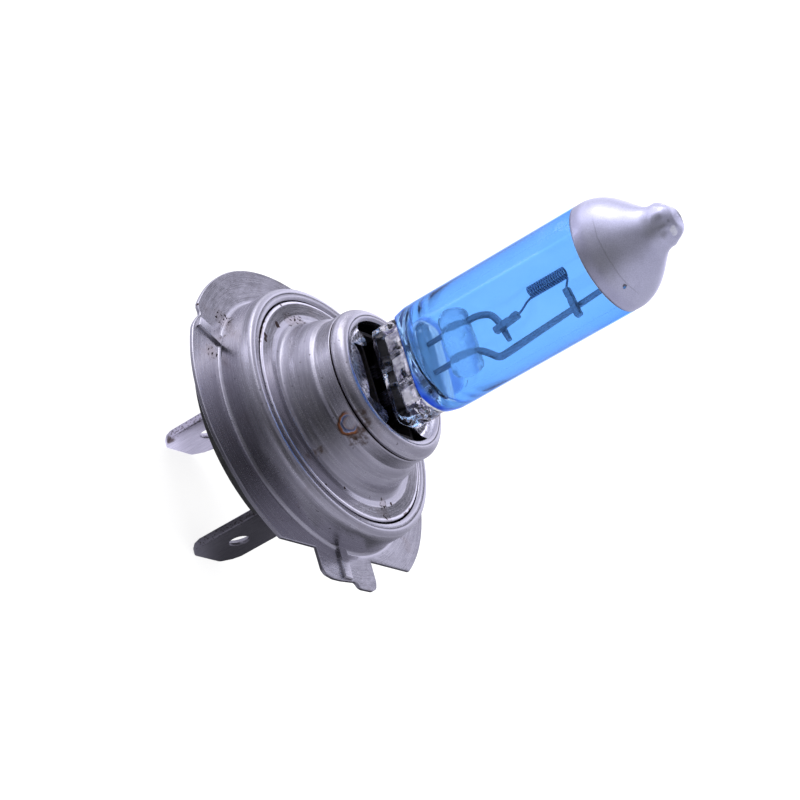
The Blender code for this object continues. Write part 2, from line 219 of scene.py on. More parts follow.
def wire(name, points, radius, mat, sides=20, taper=0.0):
    """A drawn wire along a path, ends slightly rounded."""
    path = [Vector(p) for p in points]
    mesh = bmesh.new()
    rows = []
    normal = None
    last = len(path) - 1
    for i, point in enumerate(path):
        along = (path[min(i + 1, last)] - path[max(i - 1, 0)]).normalized()
        if normal is None:
            normal = Vector((1, 0, 0)) if abs(along.x) < 0.9 else Vector((0, 1, 0))
        normal = (normal - along * normal.dot(along)).normalized()
        side = along.cross(normal)
        r = radius
        if i in (0, last) and taper:
            r = radius * (1 - taper)
        rows.append([mesh.verts.new(point + r * (c * normal + s * side)) for c, s in circle(sides)])
    return capped(name, mesh, rows, mat, 50.0)


def polar(r, deg):
    return r * math.cos(math.radians(deg)), r * math.sin(math.radians(deg))


def circle(count, shift=0.0):
    """(cos, sin) at even steps of one turn."""
    turns = [2 * math.pi * (k + shift) / count for k in range(count)]
    return [(math.cos(a), math.sin(a)) for a in turns]


def smoothstep(low, high, value):
    t = min(1.0, max(0.0, (value - low) / (high - low)))
    return t * t * (3 - 2 * t)


def gauss(value, centre, width):
    return math.exp(-((value - centre) / width) ** 2)


def lookup(table, value):
    """Straight-line lookup in rows of (key, value)."""
    if value <= table[0][0]:
        return table[0][1]
    for (a, u), (b, v) in zip(table, table[1:]):
        if value <= b:
            return u + (v - u) * (value - a) / (b - a)
    return table[-1][1]


# ---- material helpers
class Shade:
    """One node material; coordinates are the object frame in millimetres."""

    def __init__(self, name, **values):
        self.mat = bpy.data.materials.new(name)
        self.mat.use_nodes = True
        self.tree = self.mat.node_tree
        self.shader = self.tree.nodes["Principled BSDF"]
        self.mm = self.vector("SCALE", self.made("ShaderNodeTexCoord", "Object"), scale=1000.0)
        self.x, self.y, self.z = self.split(self.mm)
        for key, value in values.items():
            self.set(key.replace("_", " "), value)

    def feed(self, value, socket):
        if isinstance(value, bpy.types.NodeSocket):
            self.tree.links.new(value, socket)
        elif isinstance(value, tuple) and len(socket.default_value) == 4:
            socket.default_value = (*value, 1.0)
        else:
            socket.default_value = value

    def made(self, kind, output=0, inputs=(), **settings):
        """One output of a new node whose inputs are fed by place or name."""
        node = self.tree.nodes.new(kind)
        for key, value in settings.items():
            setattr(node, key, value)
        for key, value in dict(inputs).items():
            self.feed(value, node.inputs[key])
        return node.outputs[output]

    def set(self, name, value):
        self.feed(value, self.shader.inputs[name])

    def surface(self, factor, a, b):
        """Ends the material in a mix of two shaders."""
        mixed = self.made("ShaderNodeMixShader", 0, enumerate((factor, a, b)))
        self.feed(mixed, self.tree.nodes["Material Output"].inputs["Surface"])

    def math(self, operation, a, b=0.0):
        return self.made("ShaderNodeMath", 0, enumerate((a, b)), operation=operation)

    def times(self, first, *others):
        for other in others:
            first = self.math("MULTIPLY", first, other)
        return first

    def plus(self, a, b):
        return self.math("ADD", a, b)

    def minus(self, a, b):
        return self.math("SUBTRACT", a, b)

    def most(self, a, b):
        return self.math("MAXIMUM", a, b)

    def apart(self, a, b):
        return self.math("ABSOLUTE", self.minus(a, b))

    def vector(self, operation, a, b=(0.0, 0.0, 0.0), scale=1.0):
        output = "Value" if operation == "DISTANCE" else "Vector"
        return self.made("ShaderNodeVectorMath", output, {0: a, 1: b, 3: scale}, operation=operation)

    def split(self, vector):
        return self.made("ShaderNodeSeparateXYZ", 0, {0: vector}).node.outputs

    def combine(self, *xyz):
        return self.made("ShaderNodeCombineXYZ", 0, enumerate(xyz))

    def noise(self, scale, detail=3.0, rough=0.55, where=None, output=0):
        inputs = {"Vector": where or self.mm, "Scale": scale, "Detail": detail, "Roughness": rough}
        return self.made("ShaderNodeTexNoise", output, inputs)

    def wander(self, value, by, reach):
        """Shifts a value up or down by a noise."""
        return self.plus(value, self.times(self.minus(by, 0.5), reach))

    def step(self, value, low=0.3, high=0.7, out0=0.0, out1=1.0):
        inputs = enumerate((value, low, high, out0, out1))
        return self.made("ShaderNodeMapRange", 0, inputs, interpolation_type="SMOOTHSTEP")

    def mix(self, factor, a, b, blend="MIX"):
        return self.made("ShaderNodeMix", 2, {0: factor, 6: a, 7: b}, data_type="RGBA", blend_type=blend)

    def shaded(self, colour, by):
        """One colour times another."""
        return self.mix(1.0, colour, by, "MULTIPLY")

    def ramp(self, value, stops):
        colour = self.made("ShaderNodeValToRGB", 0, {0: value})
        elements = colour.node.color_ramp.elements
        while len(elements) < len(stops):
            elements.new(0.5)
        for element, (place, tone) in zip(elements, stops):
            element.position = place
            element.color = (*tone, 1.0)
        return colour

    def spot(self, centre, radius, soft=0.5, wobble=0.0):
        """1 inside a ball round centre, fading out over the outer soft share of its radius."""
        where = self.mm
        if wobble:
            shift = self.noise(1.6 / radius, 2.0, 0.5, output="Color")
            moved = self.vector("SUBTRACT", shift, (0.5, 0.5, 0.5))
            where = self.vector("ADD", self.mm, self.vector("SCALE", moved, scale=wobble))
        return self.step(self.vector("DISTANCE", where, centre), radius, radius * (1 - soft))

    def around(self):
        """Unit direction round the lamp axis and distance from it."""
        r = self.math("SQRT", self.plus(self.times(self.x, self.x), self.times(self.y, self.y)))
        safe = self.most(r, 0.01)
        return self.math("DIVIDE", self.x, safe), self.math("DIVIDE", self.y, safe), r

    def bump(self, height, strength, distance_mm, normal=None):
        inputs = {"Strength": strength, "Distance": distance_mm * MM, "Height": height}
        if normal:
            inputs["Normal"] = normal
        return self.made("ShaderNodeBump", 0, inputs)


def turned_lines(s, fine, across):
    """Noise stretched round the lamp axis, as a lathe or a spinning brush leaves it."""
    c, d, r = s.around()
    k = s.plus(r, s.z)
    where = s.combine(s.times(c, across), s.times(d, across), s.times(k, fine))
    return s.noise(1.0, 4.0, 0.6, where)


def specks(s, mask, scale, threshold, soft=0.03):
    """Small dark flecks inside a mask."""
    dots = s.noise(scale, 2.0, 0.5)
    return s.times(s.step(dots, threshold, threshold + soft), mask)


def cap_steel(name, marks, lit_disc_shaded_flare=False):
    """Bright-annealed steel sheet with handling marks. The last flag paints the flat disc as a lighter
    copy of the steel (painted highlight) and the concave flare as a darker copy (painted shade).
    """
    s = Shade(name, Metallic=1.0)
    lines = turned_lines(s, 7.0, 2.2)
    fine = turned_lines(s, 26.0, 5.0)
    grain = s.noise(9.0, rough=0.7)
    cloud = s.noise(0.35, rough=0.6)
    colour = s.mix(s.step(lines, 0.3, 0.72), (0.435, 0.425, 0.46), (0.56, 0.55, 0.585))
    colour = s.mix(s.step(grain, 0.38, 0.62), s.shaded(colour, (0.90, 0.90, 0.91)), colour)
    colour = s.mix(s.step(cloud, 0.55, 0.75), colour, s.shaded(colour, (0.88, 0.85, 0.83)))
    rough = s.plus(s.step(lines, 0.25, 0.75, 0.215, 0.28), s.step(grain, 0.3, 0.7, -0.02, 0.02))
    if lit_disc_shaded_flare:
        # Painted highlight on the flat disc and painted shade on the flare: lighter and darker copies of
        # the same steel.
        away = s.around()[2]
        disc = s.step(away, 9.75, 10.1)
        flare = s.mix(s.step(away, 7.8, 8.1), colour, s.shaded(colour, (0.82, 0.82, 0.83)))
        colour = s.mix(disc, flare, s.shaded(colour, (1.40, 1.40, 1.38)))
        rough = s.times(rough, s.step(away, 9.75, 10.1, 1.0, 0.85))
    pits = specks(s, 1.0, 3.2, 0.71, 0.02)
    colour = s.mix(s.times(pits, 0.75), colour, (0.05, 0.04, 0.04))
    for kind, centre, radius in marks:
        colour, rough = mark(s, kind, centre, radius, colour, rough)
    s.set("Base Color", colour)
    s.set("Roughness", rough)
    s.set("Anisotropic", 0.86)
    s.set("Tangent", s.made("ShaderNodeTangent", direction_type="RADIAL", axis="Z"))
    first = s.bump(s.noise(0.5, 2.0), 0.14, 0.2)
    second = s.bump(fine, 0.3, 0.01, first)
    s.set("Normal", s.bump(grain, 0.12, 0.01, second))
    return s.mat


def mark(s, kind, centre, radius, colour, rough):
    """Adds one mark: rust, spot, line, seam, mottle, smear, or a laser weld's coloured ring."""
    if kind == "rust":
        area = s.spot(centre, radius * 1.3, 0.6, radius * 0.5)
        flecks = s.times(s.step(s.noise(3.4, 1.5, 0.5), 0.57, 0.61), s.step(area, 0.15, 0.45))
        colour = s.mix(s.times(area, 0.25), colour, (0.20, 0.13, 0.09))
        colour = s.mix(s.times(flecks, 0.95), colour, (0.030, 0.018, 0.014))
        rough = s.plus(rough, s.times(flecks, 0.3))
    elif kind == "spot":
        area = s.spot(centre, radius, 0.35, radius * 0.9)
        colour = s.mix(s.times(area, 0.95), colour, (0.06, 0.030, 0.02))
        rough = s.plus(rough, s.times(area, 0.25))
    elif kind == "line":
        edge = s.step(s.apart(s.around()[2], math.hypot(centre[0], centre[1])), 0.16, 0.03)
        broken = s.times(s.step(s.noise(1.8), 0.42, 0.52), s.spot(centre, radius, 0.3))
        colour = s.mix(s.times(edge, broken, 0.85), colour, (0.10, 0.055, 0.035))
    elif kind == "seam":
        near = s.step(s.apart(s.z, centre[2]), radius, 0.02)
        dirt = s.times(near, s.step(s.noise(1.2), 0.35, 0.55, 0.35, 0.95))
        colour = s.mix(dirt, colour, (0.085, 0.055, 0.045))
    elif kind == "mottle":
        inside = s.step(s.around()[2], radius + 0.25, radius - 0.1)
        patch = s.noise(2.6, rough=0.7)
        dark = s.times(inside, s.step(patch, 0.54, 0.60))
        pale = s.times(inside, s.step(patch, 0.54, 0.48))
        colour = s.mix(s.times(dark, 0.7), colour, (0.12, 0.12, 0.15))
        colour = s.mix(s.times(pale, 0.9), colour, (0.95, 0.95, 1.0))
        rough = s.minus(rough, s.times(inside, 0.06))
    elif kind == "smear":
        area = s.times(s.spot(centre, radius, 0.6, radius * 0.9), s.step(s.noise(2.2), 0.3, 0.6))
        colour = s.mix(s.times(area, 0.85), colour, (0.10, 0.062, 0.04))
        rough = s.plus(rough, s.times(area, 0.15))
    else:
        far = s.wander(s.vector("DISTANCE", s.mm, centre), s.noise(0.7), radius * 0.8)
        share = s.math("DIVIDE", far, radius)
        tint = s.ramp(share, [
            (0.0, (0.44, 0.40, 0.42)), (0.45, (0.36, 0.27, 0.23)), (0.58, (0.07, 0.12, 0.26)),
            (0.68, (0.42, 0.46, 0.62)), (0.76, (0.46, 0.18, 0.05)), (0.86, (0.30, 0.10, 0.03)),
            (0.95, (0.07, 0.035, 0.022)), (1.0, (0.30, 0.22, 0.17)),
        ])
        ring = s.times(s.step(share, 0.2, 0.55), s.step(share, 1.14, 0.92))
        below = s.step(s.minus(s.z, centre[2]), 0.55, -0.15, 0.12, 0.95)
        colour = s.mix(s.times(ring, below), colour, tint)
    return colour, rough


def oxide_steel(name):
    """Spring steel darkened by the heat of welding, hidden inside the cap."""
    s = Shade(name, Metallic=0.6)
    grain = s.noise(3.0, 4.0, 0.65)
    s.set("Base Color", s.mix(s.step(grain), (0.012, 0.011, 0.013), (0.035, 0.03, 0.032)))
    s.set("Roughness", s.step(grain, 0.3, 0.7, 0.55, 0.7))
    s.set("Normal", s.bump(grain, 0.3, 0.02))
    return s.mat


def glass_material(name, tint, ior, milky):
    """Fused quartz that bends light, slightly milky in places."""
    s = Shade(name, Roughness=0.04, IOR=ior)
    cloud = s.noise(0.9, rough=0.6)
    s.set("Base Color", s.mix(s.step(cloud), tint, (1.0, 1.0, 1.0)))
    s.set("Transmission Weight", s.step(cloud, 0.3, 0.7, 1.0 - milky, 1.0 - 0.6 * milky))
    return glass_output(s, tint)


def glass_output(s, tint):
    """Lets lamp light straight through to what the glass holds."""
    through = (0.93 * tint[0], 0.94 * tint[1], 0.96 * tint[2])
    clear = s.made("ShaderNodeBsdfTransparent", 0, {"Color": through})
    s.surface(s.made("ShaderNodeLightPath", "Is Shadow Ray"), s.shader.outputs[0], clear)
    return s.mat


def band(s, value, low, high, soft):
    """1 between two heights, fading over soft at each."""
    return s.times(s.step(value, low - soft, low + soft), s.step(value, high + soft, high - soft))


def envelope_material():
    """Clear tube above; below it the flame-pressed pinch, faintly lilac, painted near-black on the beads,
    below them and in patches of the panels: painted shade for the dark inside seen through the glass.
    """
    s = Shade("fused_quartz")
    pinch = s.step(s.z, 13.05, 12.85)
    swirl = s.noise(0.9, rough=0.65)
    y = s.wander(s.y, swirl, 0.9)
    z = s.wander(s.z, s.noise(1.3), 0.35)
    # Painted shade: the beads, the pinch below them and patches of the panels take a near-black tone in
    # place of the dark inside seen through the glass.
    ends = s.most(band(s, y, 0.55, 4.2, 0.15), band(s, y, -4.4, -1.35, 0.15))
    bead = s.times(band(s, z, 9.3, 11.0, 0.12), ends)
    bead = s.most(bead, s.step(s.z, 9.75, 9.55))
    panel_shade_patch = s.most(band(s, y, 1.5, 2.4, 0.12), band(s, y, -1.9, -0.5, 0.15))
    panel_shade_patch = s.times(panel_shade_patch, band(s, z, 11.25, 12.7, 0.1))
    panel_shade_patch = s.times(panel_shade_patch, s.step(s.noise(1.1, 2.0), 0.42, 0.58))
    cloudy = s.mix(s.step(s.noise(1.7, 4.0, 0.6), 0.38, 0.64), (0.42, 0.40, 0.52), (0.92, 0.90, 1.0))
    painted_shade_tone = s.mix(s.step(s.noise(2.2), 0.35, 0.7), (0.002, 0.002, 0.004), (0.02, 0.018, 0.028))
    colour = s.mix(s.most(bead, s.times(panel_shade_patch, 0.85)), cloudy, painted_shade_tone)
    s.set("Base Color", s.mix(pinch, (1.0, 1.0, 1.0), colour))
    foot = s.times(s.step(s.z, 12.9, 13.1), s.step(s.z, 14.5, 13.7))
    s.set("Roughness", s.most(s.times(pinch, 0.02), s.times(foot, 0.12)))
    pale = s.most(band(s, y, 1.5, 3.3, 0.1), band(s, y, -3.9, -2.35, 0.1))
    pale = s.most(band(s, y, -1.75, 0.95, 0.1), pale)
    pale = s.times(pale, band(s, s.z, 11.25, 12.75, 0.08), s.minus(1.0, panel_shade_patch))
    milk = s.most(s.times(foot, 0.58), s.times(pale, 0.5))
    s.set("Transmission Weight", s.minus(1.0, milk))
    s.set("IOR", s.step(s.apart(s.z, 14.2), 0.9, 1.5, 1.26, 1.46))
    rough_end = s.plus(0.3, s.step(s.y, -3.2, -4.2))
    s.set("Normal", s.bump(s.times(swirl, rough_end, s.step(s.z, 14.8, 12.9)), 0.16, 0.25))
    return glass_output(s, (1.0, 1.0, 1.0))


def coat_material():
    """Blue interference film: a tint for what is seen through it and a faint gloss."""
    s = Shade("blue_filter_film")
    facing = s.made("ShaderNodeLayerWeight", "Facing", {"Blend": 0.35})
    streak = s.noise(0.35, 2.0)
    near = s.mix(s.step(streak), (0.615, 0.80, 0.995), (0.635, 0.815, 1.0))
    tint = s.mix(facing, near, (0.56, 0.76, 0.99))
    drip = s.wander(s.z, s.noise(0.55), 1.8)
    tint = s.mix(s.step(drip, 13.3, 14.5), (0.30, 0.46, 0.93), tint)
    film = s.made("ShaderNodeBsdfTransparent", 0, {"Color": tint})
    gloss = s.made("ShaderNodeBsdfGlossy", 0, {"Roughness": 0.06, "Color": (0.75, 0.85, 1.0)})
    fresnel = s.made("ShaderNodeFresnel", 0, {"IOR": 1.25})
    front = s.minus(1.0, s.made("ShaderNodeNewGeometry", "Backfacing"))
    s.surface(s.times(fresnel, front), film, gloss)
    return s.mat


def silver_material():
    """Satin silver heat-proof paint with a fine flake, an edge scratch and one chip."""
    s = Shade("silver_heat_paint", Metallic=0.85)
    flake = s.noise(14.0, 2.0, 0.6)
    cloud = s.noise(0.5)
    colour = s.mix(s.step(flake), (0.50, 0.505, 0.625), (0.65, 0.655, 0.79))
    colour = s.mix(s.step(cloud, 0.4, 0.7), colour, s.shaded(colour, (0.93, 0.93, 0.94)))
    c, d, _ = s.around()
    height = s.plus(35.72, s.times(s.noise(0.9), 0.25))
    line = s.step(s.apart(s.z, height), 0.07, 0.02)
    line = s.times(line, s.step(d, 0.45, 0.1), s.step(c, 0.0, -0.35))
    colour = s.mix(s.times(line, 0.28), colour, (0.14, 0.14, 0.17))
    chip = s.spot((-2.24, -4.60, 35.5), 0.16, 0.3, 0.15)
    rim = s.minus(s.spot((-2.34, -4.55, 35.6), 0.24, 0.3, 0.2), chip)
    colour = s.mix(chip, colour, (0.12, 0.30, 0.62))
    colour = s.mix(s.most(s.times(rim, 0.8), 0.0), colour, (0.05, 0.05, 0.06))
    dirt = s.spot((-1.30, -0.55, 41.05), 0.30, 0.8, 0.3)
    worn = s.times(s.spot((-1.30, -0.55, 41.0), 1.2, 0.3, 0.3), 0.14)
    colour = s.mix(s.most(s.times(dirt, 0.55), worn), colour, (0.18, 0.18, 0.22))
    s.set("Base Color", s.mix(s.step(s.z, 35.2, 34.2), colour, s.shaded(colour, (0.82, 0.82, 0.86))))
    s.set("Roughness", s.step(flake, 0.3, 0.7, 0.31, 0.38))
    first = s.bump(cloud, 0.2, 0.15)
    second = s.bump(flake, 0.25, 0.02, first)
    s.set("Normal", s.bump(s.times(chip, -1.5), 0.8, 0.06, second))
    return s.mat


def drawn_wire(name, colour, rough, axis_scale=(6.0, 6.0, 0.8)):
    s = Shade(name, Metallic=1.0)
    lines = s.noise(1.6, 3.0, 0.6, s.vector("MULTIPLY", s.mm, axis_scale))
    dark = tuple(0.62 * v for v in colour)
    s.set("Base Color", s.mix(s.step(lines, 0.35, 0.65), dark, colour))
    s.set("Roughness", s.step(lines, 0.3, 0.7, rough, rough + 0.14))
    s.set("Normal", s.bump(lines, 0.3, 0.02))
    return s.mat


def blade_material(name, lit_and_heat_tinted):
    """Rolled strip, brushed along the blade, with worn corners. The flagged blade is a lighter copy of the
    metal (painted light) with heat tint near the cap; the other grows darker towards the cap.
    """
    s = Shade(name, Metallic=1.0)
    lines = s.noise(1.2, 4.0, 0.65, s.vector("MULTIPLY", s.mm, (7.0, 7.0, 0.5)))
    grain = s.noise(8.0, rough=0.7)
    colour = s.mix(s.step(lines), (0.44, 0.43, 0.47), (0.60, 0.585, 0.625))
    if not lit_and_heat_tinted:
        # The blade without the flag grows darker towards the cap.
        colour = s.mix(s.step(s.z, -9.0, -5.0, 0.45, 0.8), colour, (0.10, 0.095, 0.11))
    else:
        # Painted light: this blade's metal is a lighter copy of the other blade's.
        colour = s.shaded(colour, (1.35, 1.33, 1.38))
        heat = s.plus(s.z, s.times(s.noise(0.6), 2.5))
        bloom = s.ramp(s.step(heat, -9.0, -3.0), [
            (0.0, (0.60, 0.585, 0.625)), (0.35, (0.62, 0.52, 0.42)), (0.6, (0.55, 0.30, 0.16)),
            (0.8, (0.30, 0.20, 0.28)), (1.0, (0.24, 0.27, 0.38)),
        ])
        edge = s.step(s.x, -1.9, -2.9)
        share = s.most(s.step(heat, -8.5, -6.0), s.times(edge, 0.75))
        colour = s.mix(s.times(share, 0.8), colour, s.shaded(bloom, colour))
        burnt = s.times(s.spot((-2.75, 4.95, -14.3), 0.75, 0.6, 0.5), 0.9)
        colour = s.mix(burnt, colour, (0.075, 0.045, 0.035))
    flecks = specks(s, s.step(s.math("ABSOLUTE", s.x), 2.5, 3.1), 4.5, 0.56)
    colour = s.mix(s.times(flecks, 0.7), colour, (0.09, 0.075, 0.07))
    s.set("Base Color", colour)
    s.set("Roughness", s.step(lines, 0.25, 0.75, 0.26, 0.40))
    s.set("Anisotropic", 0.4)
    first = s.bump(lines, 0.3, 0.02)
    s.set("Normal", s.bump(grain, 0.3, 0.012, first))
    return s.mat


def moulding_material():
    """Black glass-filled moulding, satin skin with pale dust and rub marks."""
    s = Shade("black_moulding")
    grain = s.noise(5.0, 4.0, 0.65)
    cloud = s.noise(0.45)
    colour = s.mix(s.step(grain), (0.010, 0.010, 0.012), (0.024, 0.024, 0.027))
    colour = s.mix(s.step(cloud, 0.55, 0.8, 0.0, 0.5), colour, (0.05, 0.05, 0.052))
    s.set("Base Color", colour)
    s.set("Roughness", s.step(cloud, 0.3, 0.7, 0.38, 0.55))
    s.set("Normal", s.bump(grain, 0.35, 0.03))
    return s.mat


# ---- cap
EDGE_PINCH = [(143.2, 0.0), (145.2, 0.55), (146.0, 0.62), (148.0, 0.42), (151.0, 0.18), (153.8, 0.0)]


def flange_outline():
    """Round plate with a flat across -Y, a stepped keyed tongue on the flat, and one edge notch."""
    r = FLANGE_R
    x0, x1 = TONGUE_X
    low = -r + 0.6
    tongue = [
        (x0, FLAT_Y), (x0, low + 0.5), (x0 + 0.4, low + 0.05), (x0 + 1.4, low - 0.2),
        (x0 + 2.6, low - 0.2), (0.1, low), (0.5, -r + 0.1), (0.9, -r), (x1 - 1.0, -r + 0.05),
        (x1 - 0.3, -r + 0.4), (x1, -r + 1.1), (x1, FLAT_Y),
    ]
    corner = math.degrees(math.asin(FLAT_Y / r))
    arc = []
    count = 240
    for i in range(count + 1):
        deg = corner + (180.0 - 2 * corner) * i / count
        radius = r - lookup(EDGE_PINCH, deg) - 0.12 * smoothstep(193, 199, deg) * smoothstep(216, 210, deg)
        wave = 0.03 * noise.noise(Vector((deg * 0.05, 0.3, 0.7)))
        arc.append(polar(radius + wave - 0.03, deg))
    return [tuple(p) for p in rounded(tongue, 0.22, 3)] + arc


def offset_outline(points, amount):
    """Moves a counter-clockwise outline inwards."""
    out = []
    n = len(points)
    for i in range(n):
        a, b = Vector(points[i - 1]), Vector(points[(i + 1) % n])
        d = (b - a).normalized()
        out.append((points[i][0] - d.y * amount, points[i][1] + d.x * amount))
    return out


def make_flange(mat):
    """Keyed plate, drawn cylinder and rolled rim pressed from one sheet."""
    t = SHEET
    section_line = rounded([
        (FOOT_R, PLATE_Z), (13.16, PLATE_Z + 0.02), (13.0, PLATE_Z + 0.3), (13.0, 2.55), (12.86, 3.28),
        (12.35, 3.5), (11.9, 3.44), (11.62, 3.3), (11.58, 3.1), (11.8, 3.05), (12.3, 3.05), (12.5, 2.9),
        (12.62, 2.4), (12.62, PLATE_Z - 0.05), (12.86, PLATE_Z - t + 0.06), (13.2, PLATE_Z - t),
        (FOOT_R, PLATE_Z - t),
    ], 0.3, 6)
    mesh = bmesh.new()
    rows = lathe_rows(mesh, section_line, LATHE_STEPS)
    add_grid(mesh, rows)
    outline = flange_outline()
    inset = offset_outline(outline, 0.07)
    loops = []
    for points, depth in ((inset, 0.0), (outline, 0.06), (outline, t - 0.06), (inset, t)):
        loops.append([mesh.verts.new((x, y, PLATE_Z - depth)) for x, y in points])
    add_grid(mesh, loops)
    for loop, ring in ((loops[0], rows[0]), (loops[-1], rows[-1])):
        edges = []
        for verts in (loop, ring):
            for a, b in zip(verts, verts[1:] + verts[:1]):
                edges.append(mesh.edges.get((a, b)) or mesh.edges.new((a, b)))
        bmesh.ops.triangle_fill(mesh, use_beauty=True, edges=edges)
    obj = finish_mesh("flange_pressing", mesh, mat, 32.0)
    for i, deg in enumerate(RIBS):
        rib = box("rib_%d" % i, (13.0, -0.62, PLATE_Z - 0.2), (16.05, 0.62, 0.0))
        bevel(rib, 0.14, 4)
        rib.data.transform(Matrix.Rotation(math.radians(deg), 4, "Z"))
        cut(obj, rib, "UNION")
    return apply_all(obj, 32.0)


def make_neck(mat):
    """Disc, concave flare and straight neck, one sheet thick."""
    outer = [
        (11.46, 3.2), (11.42, 3.36), (11.2, 3.42), (9.95, 3.36), (9.35, 3.44), (9.0, 3.62), (8.8, 3.92),
        (8.68, 4.3), (8.58, 4.8), (8.42, 5.4), (8.24, 5.95), (8.06, 6.32), (7.88, 6.46), (7.76, 6.56),
        (7.7, 6.8), (7.69, 8.29),
    ]
    inner = [
        (7.4, 8.29), (7.38, 6.6), (7.52, 6.2), (7.8, 5.8), (8.12, 4.9), (8.3, 4.0), (8.8, 3.2),
        (9.8, 3.02), (11.46, 2.96),
    ]
    return lathe("neck_pressing", rounded(outer + inner, 0.13, 4, True), mat, sharp=40.0)


def slot_outline():
    """Arc past each pinch edge, a window by each face with pointed corners, tongues between."""
    side = []
    for sign in (1, -1):
        half = [polar(6.2, 60 + 60 * i / 12) for i in range(13)]
        half += [
            (-2.9, 5.0), (-2.2, 4.5), (-1.95, 4.1), (-2.0, 3.5), (-2.6, 3.25), (-4.25, 3.25),
            (-3.75, 2.5), (-3.66, 1.4), (-3.72, 0.0), (-3.82, -1.2), (-4.2, -2.4), (-3.7, -2.7),
            (-2.7, -2.9), (-2.05, -3.5), (-2.0, -4.1), (-2.25, -4.5), (-2.9, -4.9),
        ]
        side += [(sign * x, sign * y) for x, y in half]
    return side


def make_collar(mat):
    """Cup in the neck with a rolled rim and a slotted plate."""
    profile = rounded([
        (0.0, 8.85), (6.2, 8.85), (6.85, 8.6), (6.95, 8.3), (6.95, 5.7), (7.28, 5.7), (7.28, 8.34),
        (7.6, 8.36), (7.72, 8.55), (7.71, 8.78), (7.6, 9.08), (7.38, 9.38), (7.08, 9.62), (6.74, 9.74),
        (6.42, 9.68), (6.15, 9.5), (5.95, 9.28), (5.65, 9.12), (0.0, 9.12),
    ], 0.16, 4)
    obj = lathe("collar_pressing", profile, mat, steps=160, closed=False)
    cut(obj, prism("slot", slot_outline(), 8.0, 10.5))
    return apply_all(obj, 34.0)


def make_insulator(mat):
    """Black disc under the cap with its stepped socket block."""
    under = PLATE_Z - SHEET - 0.05
    profile = rounded([
        (0, 1.2), (11.7, 1.2), (12.3, 0.8), (12.3, under), (13.5, under), (13.5, -2.9), (13.35, -3.0),
        (11.2, -3.0), (11.05, -2.75), (10.6, -2.75), (10.45, -3.0), (0, -3.0),
    ], 0.15, 3)
    obj = lathe("insulator_moulding", profile, mat, 160, closed=False)
    for sign in (1, -1):
        low, high = sorted((sign * 9.4, sign * 15.0))
        cut(obj, box("flat", (-15, low, -4), (15, high, under)))
    block = box("block", (-4.8, -7.6, -5.0), (4.8, 7.6, -2.6))
    bevel(block, 0.6, 4)
    cut(obj, block, "UNION")
    for y in (FAR_BLADE_Y, TONGUE_BLADE_Y):
        cut(obj, box("blade_slot", (-3.22, y - 0.46, -6), (3.22, y + 0.46, 2)))
    for x in (-1.6, 1.6):
        pocket = box("core_pocket", (x - 1.1, -3.2, -6), (x + 1.1, 2.4, -4.2))
        bevel(pocket, 0.3, 3)
        cut(obj, pocket)
    return apply_all(obj, 30.0)


def make_blade(name, y, mat):
    """Blade terminal: chamfered end, countersunk hole, softly rolled edges."""
    half, end = BLADE_W / 2, BLADE_END_Z
    outline = [
        (-half, -1.2), (-half, end + 1.8), (-half + 0.35, end + 0.95), (-half + 1.2, end + 0.05),
        (-half + 1.5, end),
    ]
    outline += [(-x, z) for x, z in outline[::-1]]
    mesh = bmesh.new()
    rows = [[mesh.verts.new((x, y + s * BLADE_T / 2, z)) for x, z in outline] for s in (-1, 1)]
    obj = capped(name, mesh, rows, mat)
    bevel(obj, 0.14, 4)
    profile = [
        (0, 1.0), (1.04, 1.0), (1.04, 0.4), (0.98, 0.3), (0.98, 0.12), (1.5, -0.4), (1.6, -1.0), (0, -1.0),
    ]
    bore = lathe("bore", profile, None, 48, closed=False)
    lie_along_y(bore, 90, (0, y, BLADE_HOLE_Z))
    cut(obj, bore)
    return apply_all(obj, 30.0)


# ---- burner
SHOULDER = [
    (9.3, 1.2), (9.75, PINCH_X), (PINCH_TOP_Z, PINCH_X), (13.1, 2.1), (13.3, 2.75), (13.55, 3.45),
    (13.85, 4.05), (14.2, 4.6), (14.6, 4.95), (15.05, 5.12), (15.5, GLASS_R),
]
PINCH_REACH = [(9.3, 4.3), (9.75, PINCH_Y), (13.0, PINCH_Y), (13.8, 5.12), (14.6, GLASS_R)]
SHOULDER_REACH = [(12.0, 5.0), (12.6, 4.85), (13.2, 4.9), (13.8, 5.05), (14.4, 5.17), (15.0, GLASS_R)]


def pinch_relief(y, z):
    """How far the broad face stands out at a point: a bead with rings, ribs and pressed panels."""
    bead = smoothstep(4.2, 3.5, y) * smoothstep(-4.6, -4.0, y)
    out = 0.55 * bead * gauss(z, 10.35, 0.55)
    for centre in (0.8, -1.6, 3.4):
        out += 0.13 * gauss(y, centre, 0.16) * gauss(z, 10.35, 0.6)
    out -= 0.22 * gauss(y, -0.35, 0.7) * gauss(z, 10.3, 0.7)
    low = smoothstep(11.0, 11.2, z) * smoothstep(12.95, 12.7, z)
    for a, b in ((1.4, 3.4), (-1.85, 1.0), (-3.95, -2.25)):
        out -= 0.42 * low * smoothstep(a, a + 0.16, y) * smoothstep(b, b - 0.16, y)
    for centre in (1.2, -2.05):
        out += 0.24 * low * gauss(y, centre, 0.12)
    return out + 0.12 * gauss(z, 13.0, 0.1) * bead


def pinch_noise(p, amount):
    n = noise.noise(p * 0.9 + Vector((3.1, 0.2, 5.7))) + 0.5 * noise.noise(p * 2.1)
    return amount * n


